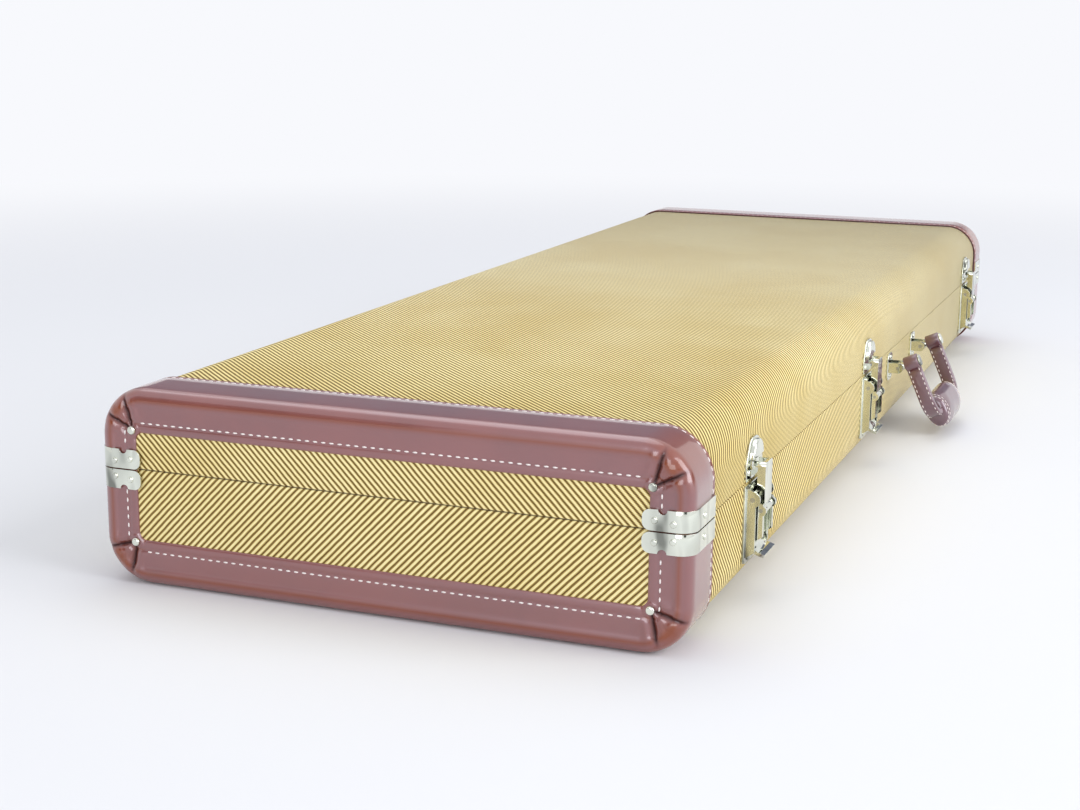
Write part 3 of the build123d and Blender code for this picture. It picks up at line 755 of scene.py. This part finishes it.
def end_panel(end, upper):
    """Flat cloth panel of one end, its edge at the split turned in."""
    bm = bmesh.new()
    split_level = lid_edge + split_round if upper else base_edge - split_round
    low = split_level if upper else window["low"] - panel_margin
    high = window["high"] + panel_margin if upper else split_level
    bmesh.ops.create_grid(bm, x_segments=1, y_segments=1, size=0.5)
    width = 2 * (window["half"] + panel_margin)
    bmesh.ops.scale(bm, vec=(width, high - low, 1), verts=bm.verts)
    turn = Matrix.Rotation(math.radians(90), 4, "X")
    turn = Matrix.Rotation(math.radians(90), 4, "Z") @ turn
    bmesh.ops.transform(bm, matrix=turn, verts=bm.verts)
    face_x = end * (half_length - leather_thick)
    bmesh.ops.translate(bm, vec=(face_x, 0, (low + high) / 2), verts=bm.verts)
    split_edges = [e for e in bm.edges if all(abs(v.co.z - split_level) < hair for v in e.verts)]
    toward = -1 if upper else 1
    for inward, back in ((split_round, split_round), (0.0, split_depth)):
        fresh = new_verts(bmesh.ops.extrude_edge_only(bm, edges=split_edges))
        bmesh.ops.translate(bm, vec=(-end * back, 0, toward * inward), verts=fresh)
        split_edges = [e for e in bm.edges if all(v in fresh for v in e.verts)]
    slant = 1 if upper else -1
    lay_cloth(bm, lambda x, y, z: weave(end * y, z, slant))
    bmesh.ops.scale(bm, vec=(MM, MM, MM), verts=bm.verts)
    half, tag = half_and_tag(end, upper)
    made = piece(f"{half}_cloth_panel_{tag}", bm, tweed, half, smooth=False)
    thicken(made, panel_thick)


for upper in (True, False):
    for end in (-1, 1):
        end_panel(end, upper)
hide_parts("lid_tweed")
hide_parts("base_tweed")
print("tweed panels placed")

# %% [markdown]
# ## Leather ends
# Each end is one hide stretched over the box: a band round the case with a stitched edge,
# a tight roll, and a border that is stitched round the window. At each window corner the
# surplus is gathered in pleats under a rivet. The hide is made of rings that run from the
# edge of the band over the roll to the window, and the pleats are creases pressed into it.

# %% Leather ends
rivet_y = window["half"] + 2.0
rivet_high = window["high"] + 1.4
rivet_low = window["low"] - 1.4
rivets = ((rivet_y, rivet_high), (rivet_y, rivet_low))
pleats_high = ((166.5, 113.5), (177.5, 103.5))
pleats_low = ((180.0, 21.5), (165.0, 9.0))
pleat_past = 1.25
pleat_fade = {"end": 1.3, "out": 0.35, "start": 0.05, "in": 0.2}
crease = {"depth": 1.8, "width": 1.5}
swell = {"rise": 0.6, "away": 4.8, "width": 2.3}
moat = {"depth": 0.7, "radius": 5.4, "width": 0.9}
seat = {"rise": 0.6, "radius": 4.2}
deepest_press = 1.75


def bell(value, middle, width):
    """1 where a value is at the middle, fading towards 0 on both sides."""
    return math.exp(-(((value - middle) / width) ** 2))


def near_line(y, z, start, stop):
    """Distance to a line and how far along it the nearest point is."""
    ay, az = start
    by, bz = stop
    length = math.hypot(by - ay, bz - az)
    part = ((y - ay) * (by - ay) + (z - az) * (bz - az)) / length**2
    held = min(max(part, 0.0), pleat_past)
    return math.hypot(y - ay - held * (by - ay), z - az - held * (bz - az)), part


def folds(y, z):
    """Strength of the nearest pleat and of the swell beside it at a point of the end face."""
    y = abs(y)
    pinch = bulge = 0.0
    for rivet, ends in zip(rivets, (pleats_high, pleats_low)):
        for fold in ends:
            away, part = near_line(y, z, rivet, fold)
            fade = min(1.0, max(0.0, pleat_fade["end"] - part) / pleat_fade["out"])
            fade *= min(1.0, max(0.0, part + pleat_fade["start"]) / pleat_fade["in"])
            pinch = max(pinch, fade * bell(away, 0.0, crease["width"]))
            bulge = max(bulge, fade * bell(away, swell["away"], swell["width"]))
    return pinch, bulge


def press(y, z):
    """How deep the hide is pressed in at a point of the end face, in millimetres."""
    pinch, bulge = folds(y, z)
    depth = crease["depth"] * pinch - swell["rise"] * bulge
    for rivet in rivets:
        reach = math.hypot(abs(y) - rivet[0], z - rivet[1])
        depth += moat["depth"] * bell(reach, moat["radius"], moat["width"])
        depth -= seat["rise"] * math.exp(-((reach / seat["radius"]) ** 4))
    return min(depth, deepest_press)


def between(first, second, part):
    """Points part of the way from one outline to another."""
    return [
        (a[0] + part * (b[0] - a[0]), a[1] + part * (b[1] - a[1])) for a, b in zip(first, second)
    ]


crest_drop = 0.55
crest_run = 0.1
border_slope = 0.2


def face_sag(part):
    """Depth of the border behind its crest, from the crest, 0, to the seam, 1."""
    return crest_drop * (1 - math.exp(-part / crest_run)) + border_slope * part


# Each point of the band is its way in from the end and its inset from the case's outline.
band_groove = band_width - 2.7
band_profile = (
    (band_width, 1.78),
    (band_width, 0.7),
    (band_width - 0.35, 0.15),
    (band_width - 1.0, 0.0),
    (band_width - 1.7, 0.2),
    (band_groove, 0.7),
    (band_width - 3.7, 0.2),
    (band_width - 4.8, 0.0),
    (band_width - 12.0, 0.0),
    (band_width - 22.0, 0.0),
)
roll_steps = 12
roll_square = 0.8
roll_press = 0.8
face_steps = 11
# Each point of the hem is its part of the way from the seam to the window and its depth.
hem_profile = (
    (0.12, 1.05),
    (0.28, 0.7),
    (0.5, 0.6),
    (0.72, 0.66),
    (0.9, 0.85),
    (0.98, 1.15),
    (1.0, 1.75),
)
hem_press = 0.5


def leather_rings(end):
    """Rings of the hide from the band's edge over the roll to the window."""
    rings = []
    for reach, inset in band_profile:
        points = case_outline(inset)
        rings.append((points, [end * (half_length - reach)] * len(points)))
    for step in range(roll_steps + 1):
        turn = math.pi / 2 * step / roll_steps
        inset = end_roll * (1 - math.cos(turn) ** roll_square)
        reach = end_roll * (1 - math.sin(turn) ** roll_square)
        share = roll_press * step / roll_steps
        points = case_outline(inset)
        depths = [end * (half_length - reach - share * press(y, z)) for y, z in points]
        rings.append((points, depths))
    crest = case_outline(end_roll)
    stitched = outline(**seam)
    inner = outline(**window)
    for step in range(1, face_steps + 1):
        sag = face_sag(step / face_steps)
        points = between(crest, stitched, step / face_steps)
        depths = [end * (half_length - sag - press(y, z)) for y, z in points]
        rings.append((points, depths))
    for part, sag in hem_profile:
        points = between(stitched, inner, part)
        depths = [end * (half_length - sag - hem_press * press(y, z)) for y, z in points]
        rings.append((points, depths))
    return rings


def edge_distance(y, z):
    """Way in from the outline of the case at a point of its section."""
    far_y = abs(y) - (half_width - section_radius)
    far_z = abs(z - height / 2) - (height / 2 - section_radius)
    outside = math.hypot(max(far_y, 0.0), max(far_z, 0.0))
    return section_radius - outside - min(max(far_y, far_z), 0.0)


def corner_turn(y, z):
    """1 in the middle of a rounded corner of the section and 0 on its flats."""
    far_y = max(0.0, abs(y) - (half_width - section_radius))
    far_z = max(0.0, abs(z - height / 2) - (height / 2 - section_radius))
    return 2 * far_y * far_z / max(far_y**2 + far_z**2, 1e-6)


face_reach = 6.0
crease_reach = 5.0
# Painted shade: how dark the deep of a pleat and the band's cut edge are painted.
crease_shade = 0.95
cut_edge_shade = {"width": 0.3, "stain": 0.8}
# Where the hide is painted a paler, less glossy tan: along the crest, on the tongues beyond the rivets and over
# the band's corners.
crest_tan = {"amount": 0.7, "inset": 7.2, "width": 1.5}
tongue_tan = {"amount": 0.8, "y": 174.0, "high": 107.0, "low": 15.0, "width": 8.5}
corner_tan = {"amount": 0.6, "from": 1.0}


def mark_tan_and_shade(bm):
    """Note on each vertex its paler tan mark and its painted shade, deep in a crease and at the band's cut edge.
    """
    worn = bm.verts.layers.float.new("worn")
    creased = bm.verts.layers.float.new("crease")
    for vert in bm.verts:
        x, y, z = (part / MM for part in vert.co)
        reach = half_length - abs(x)
        pinch = folds(y, z)[0] if reach < crease_reach else 0.0
        # The last fraction of a millimetre of the band, at its turned cut edge, gets painted shadow.
        at_cut = reach > band_width - cut_edge_shade["width"]
        # Painted shade, nearly black, in the creases and along the cut edge.
        vert[creased] = min(1.0, crease_shade * pinch**2 + cut_edge_shade["stain"] * at_cut)
        face_tan = 0.0
        if reach < face_reach:
            level = tongue_tan["high"] if z > height / 2 else tongue_tan["low"]
            away = math.hypot(abs(y) - tongue_tan["y"], z - level)
            tongue = tongue_tan["amount"] * bell(away, 0.0, tongue_tan["width"])
            inset = edge_distance(y, z)
            crest = crest_tan["amount"] * bell(inset, crest_tan["inset"], crest_tan["width"])
            face_tan = min(1.0, crest + tongue)
        band_corner_tan = corner_tan["amount"] * corner_turn(y, z) * (reach > corner_tan["from"])
        vert[worn] = max(face_tan, band_corner_tan) * (1 - pinch)


def leather_cap(end, upper):
    """Half of one leather end."""
    bm = rings_mesh(leather_rings(end))
    cut_half(bm, upper)
    mark_tan_and_shade(bm)
    half, tag = half_and_tag(end, upper)
    return piece(f"{half}_hide_{tag}", bm, leather, half, [f"{half}_leather_{tag}"])


for end in (-1, 1):
    for upper in (True, False):
        cap = leather_cap(end, upper)
        print(cap.name, len(cap.data.polygons))

# %% [markdown]
# ## Stitches
# A row of stitches is a row of small rice grains of thread, sunk a little into the leather.
# One grain is a stretched sphere; a loop sets one at each step of a path and turns it along
# the seam.

# %% Rows of stitches
stitch_pitch = 5.2
stitch_length = 3.4
stitch_width = 1.15
stitch_flat = 0.7
stitch_faces = 20
stitch_proud = 0.12
band_thread_inset = 0.43
clamp_half = 13.0
side_room = 9.0
pleat_room = 6.0


def sew(bm, place, along, out, length=stitch_length, width=stitch_width):
    """Add one stitch at a place, along a direction and proud of the surface."""
    made = bmesh.ops.create_icosphere(bm, subdivisions=1, radius=0.5)
    bmesh.ops.scale(bm, vec=(length, width, stitch_flat * width), verts=made["verts"])
    side = out.cross(along).normalized()
    turn = Matrix((along, side, out)).transposed().to_4x4()
    turn.translation = place
    bmesh.ops.transform(bm, matrix=turn, verts=made["verts"])


def walk(points, pitch, closed=True):
    """Places and directions at even steps along a path of vectors."""
    spots = []
    count = len(points) if closed else len(points) - 1
    carry = pitch / 2
    for index in range(count):
        first, second = points[index], points[(index + 1) % len(points)]
        run = second - first
        length = run.length
        while carry <= length and length > 0:
            spots.append((first + run * (carry / length), run.normalized()))
            carry += pitch
        carry -= length
    return spots


def outward(place, along, centre):
    """Direction square to a seam that runs round the case's long axis, away from its centre."""
    out = Vector((0, along.z, -along.y))
    return -out if out.dot(place - centre) < 0 else out


def window_stitches(bm, end, upper):
    """Row round the window, broken at the rivets and under the clamps."""
    x = end * (half_length - face_sag(1.0) + stitch_proud)
    path = [Vector((x, y, z)) for y, z in outline(**seam)]
    for place, along in walk(path, stitch_pitch):
        at_side = abs(place.y) > seam["half"] - side_room
        at_pleats = place.z > seam["high"] - pleat_room or place.z < seam["low"] + pleat_room
        at_clamp = abs(place.z - base_edge) < clamp_half
        if at_side and (at_pleats or at_clamp) or (place.z > base_edge) != upper:
            continue
        sew(bm, place, along, Vector((end, 0, 0)))


def band_stitches(bm, end, upper):
    """Row round the band, in the groove close to its edge."""
    x = end * (half_length - band_groove)
    path = [Vector((x, y, z)) for y, z in case_outline(band_thread_inset)]
    centre = Vector((x, 0, height / 2))
    for place, along in walk(path, stitch_pitch):
        if abs(place.z - base_edge) < clamp_half or (place.z > base_edge) != upper:
            continue
        sew(bm, place, along, outward(place, along, centre))


for end in (-1, 1):
    for upper in (True, False):
        bm = bmesh.new()
        window_stitches(bm, end, upper)
        band_stitches(bm, end, upper)
        bmesh.ops.scale(bm, vec=(MM, MM, MM), verts=bm.verts)
        half, tag = half_and_tag(end, upper)
        made = piece(f"{half}_stitches_{tag}", bm, thread, half)
        print(made.name, len(made.data.polygons) // stitch_faces)

# %% [markdown]
# ## Handle
# The handle hangs from two nickel links. A flat strap loops over each barrel, runs down,
# bends under the grip and comes up at the other side; the grip is a stuffed roll of leather
# wrapped round it and stitched at both ends. They are modelled upright in the handle's own
# frame and then leaned out to where the frame's grip lies.

# %% Handle frame
swing = next(joint for joint in frame["joints"] if joint["name"] == "handle_swing")
lean = math.radians(24.0)
handle_place = Matrix.Translation(swing["pos_m"]) @ Matrix.Rotation(-lean, 4, "X")
handle_half = 51.0
strap_drop = 46.5
strap_bend = 14.0
strap_thick = 5.0
strap_width = 11.5
strap_edge = 1.3
strap_out = -10.75
strap_knots = (-4.2, -12.0, -22.0)
bend_steps = 10
edge_steps = 4
loop_radius = 4.5
loop_thick = 2.9
loop_edge = 0.9
loop_steps = 24
grip_half = 34.0


def strap_path():
    """Middle of the strap in the handle's frame, from one barrel to the other."""
    corner = -strap_drop + strap_bend
    points = [Vector((-handle_half, 0, z)) for z in (*strap_knots, corner)]
    for step in range(1, bend_steps + 1):
        turn = math.pi / 2 * step / bend_steps
        x = -handle_half + strap_bend * (1 - math.cos(turn))
        z = corner - strap_bend * math.sin(turn)
        points.append(Vector((x, 0, z)))
    return points + [Vector((-p.x, 0, p.z)) for p in reversed(points)]


def flat_bar(bm, path, thick, edge, closed=False):
    """Sweep a flat strap with rounded edges along a path in the XZ plane."""
    section = []
    for start, side, top in ((0, 1, 1), (90, -1, 1), (180, -1, -1), (270, 1, -1)):
        for step in range(edge_steps + 1):
            turn = math.radians(start + 90 * step / edge_steps)
            across = side * (strap_width / 2 - edge) + edge * math.cos(turn)
            section.append((across, top * (thick / 2 - edge) + edge * math.sin(turn)))
    rings = []
    for index, place in enumerate(path):
        before = path[index - 1] if (index or closed) else place
        after = path[(index + 1) % len(path)] if (index + 1 < len(path) or closed) else place
        along = (after - before).normalized()
        side = Vector((along.z, 0, -along.x))
        ring = bmesh.ops.create_circle(bm, segments=len(section), radius=1.0)["verts"]
        for vert, (across, up) in zip(ring, section):
            vert.co = place + Vector((0, across, 0)) + side * up
        rings.append(ring)
    pairs = list(zip(rings, rings[1:])) + ([(rings[-1], rings[0])] if closed else [])
    for first, second in pairs:
        bmesh.ops.bridge_loops(bm, edges=ring_edges(bm, first) + ring_edges(bm, second))
    if not closed:
        for ring in (rings[0], rings[-1]):
            bm.faces.new(ring)


def hang(bm):
    """Bring a bmesh from the handle's frame, in millimetres, to its place on the case."""
    bmesh.ops.scale(bm, vec=(MM, MM, MM), verts=bm.verts)
    bmesh.ops.transform(bm, matrix=handle_place, verts=bm.verts)


strap_bm = bmesh.new()
flat_bar(strap_bm, strap_path(), strap_thick, strap_edge)
for side in (-1, 1):
    loop_path = []
    for step in range(loop_steps):
        turn = 2 * math.pi * step / loop_steps
        x = side * handle_half + loop_radius * math.sin(turn)
        loop_path.append(Vector((x, 0, loop_radius * math.cos(turn))))
    flat_bar(strap_bm, loop_path, loop_thick, loop_edge, closed=True)
bmesh.ops.translate(strap_bm, vec=(0, strap_out, 0), verts=strap_bm.verts)
hang(strap_bm)
strap = piece("strap", strap_bm, grip_leather, "handle", ["handle_strap"])
print("strap faces:", len(strap.data.polygons))

# %% Stuffed grip
grip_across = 10.4
grip_deep = 14.8
grip_neck = 0.80
grip_fill = 0.20
grip_rise = 1.7
grip_end = 0.62
grip_rings = 36
grip_sides = 44
tie = {"depth": 0.35, "inset": 5.0, "width": 0.9}
ruck = {"height": 0.18, "count": 5, "twist": 0.35}


def grip_swell(part):
    """Fullness of the grip from its end, 0, to its middle, 1."""
    return grip_neck + grip_fill * math.sin(math.pi / 2 * min(1.0, part * grip_rise))


grip_bm = bmesh.new()
last = None
for step in range(grip_rings + 1):
    x = -grip_half + 2 * grip_half * step / grip_rings
    part = 1 - abs(x) / grip_half
    full = grip_swell(part)
    if step in (0, grip_rings):
        full *= grip_end
    groove = tie["depth"] * bell(grip_half - abs(x), tie["inset"], tie["width"])
    ring = bmesh.ops.create_circle(grip_bm, segments=grip_sides, radius=1.0)["verts"]
    for index, vert in enumerate(ring):
        turn = 2 * math.pi * index / grip_sides
        wave = ruck["height"] * math.sin(ruck["count"] * turn + ruck["twist"] * x) * (1 - part)
        across = (grip_across * full - groove + wave) * math.cos(turn)
        deep = (grip_deep * full - groove + wave) * math.sin(turn)
        vert.co = (x, strap_out + across, -strap_drop + deep)
    if last:
        edges = ring_edges(grip_bm, last) + ring_edges(grip_bm, ring)
        bmesh.ops.bridge_loops(grip_bm, edges=edges)
    else:
        grip_bm.faces.new(ring)
    last = ring
grip_bm.faces.new(last)
hang(grip_bm)
grip = piece("grip", grip_bm, grip_leather, "handle", ["handle_grip"])
smooth_grip = grip.modifiers.new("smooth", "SUBSURF")
smooth_grip.levels = smooth_grip.render_levels = 1
print("grip faces:", len(grip.data.polygons))

# %% Stitches of the handle
strap_pitch = 4.2
grip_pitch = 3.6
fine_length = 2.9
fine_width = 0.85
strap_seam = strap_width / 2 - 1.6
strap_hidden = grip_half + 1.5
grip_rows = (3.2, 6.6)
row_steps = 48
sewn = bmesh.new()
for face in (-1, 1):
    for edge in (-1, 1):
        path = [place + Vector((0, edge * strap_seam, 0)) for place in strap_path()]
        for place, along in walk(path, strap_pitch, closed=False):
            if abs(place.x) < strap_hidden:
                continue
            out = Vector((along.z, 0, -along.x)) * face
            sew(sewn, place + out * strap_thick / 2, along, out, fine_length, fine_width)
for side in (-1, 1):
    for inset in grip_rows:
        centre = Vector((side * (grip_half - inset), 0, -strap_drop))
        full = grip_swell(inset / grip_half)
        path = []
        for step in range(row_steps):
            turn = 2 * math.pi * step / row_steps
            y = grip_across * full * math.cos(turn)
            z = -strap_drop + grip_deep * full * math.sin(turn)
            path.append(Vector((centre.x, y, z)))
        for place, along in walk(path, grip_pitch):
            sew(sewn, place, along, outward(place, along, centre), fine_length, fine_width)
bmesh.ops.translate(sewn, vec=(0, strap_out, 0), verts=sewn.verts)
hang(sewn)
handle_stitches = piece("handle_stitches", sewn, thread, "handle")
print("handle stitches:", len(handle_stitches.data.polygons) // stitch_faces)

# %% [markdown]
# ## Padding of the inside
# The pads are foam under plush. Each starts as a copy of the plain block that holds its
# place, is remeshed to an even skin and relaxed so that its edges round over.

# %% Plush pads
pad_voxel = 4.0
pad_relax = 4
body_of = {n: b for b, members in frame["record"]["behaviour"]["bodies"].items() for n in members}


def plush_copy(node, tag, smooth=True):
    """Plush piece in the shape of a hard piece, which it stands for."""
    bm = bmesh.new()
    bm.from_mesh(nodes[node].data)
    bmesh.ops.remove_doubles(bm, verts=bm.verts, dist=weld_reach)
    name = node.replace("_", "-") + tag
    return piece(name, bm, plush, body_of[node], [node], smooth)


def plush_pad(node):
    """Rounded plush pad in the room of a plain block."""
    made = plush_copy(node, "-pad")
    remesh = made.modifiers.new("even", "REMESH")
    remesh.mode = "VOXEL"
    remesh.voxel_size = pad_voxel * MM
    remesh.use_smooth_shade = True
    soft = made.modifiers.new("soft", "SMOOTH")
    soft.iterations = pad_relax
    soft.factor = 0.5
    return made


pads = [n for n in nodes if n.startswith(("waist_pad", "corner_pad", "neck_", "head_rest"))]
for name in pads:
    plush_pad(name)
print("pads:", len(pads))

# %% Lined boards
board_edge = 1.2
lining_edge = 0.3
tab_edge = 0.4
pile_angle = math.radians(40)


def lined_board(node, edge):
    """Thin board wrapped in plush, its edges rounded by the pile."""
    made = plush_copy(node, "-plush", smooth=False)
    rounding = made.modifiers.new("edge", "BEVEL")
    rounding.width = edge * MM
    rounding.segments = 3
    rounding.limit_method = "ANGLE"
    rounding.angle_limit = pile_angle


boards = [n for n in nodes if n.startswith("box_wall") or n == "accessory_flap"]
linings = ("base_lining", "lid_lining")
for name in boards:
    lined_board(name, board_edge)
for name in linings:
    lined_board(name, lining_edge)
soften(nodes["accessory_tab"], tab_edge)
nodes["base_lip"].data.materials[0] = plush
print("boards:", len(boards) + len(linings))
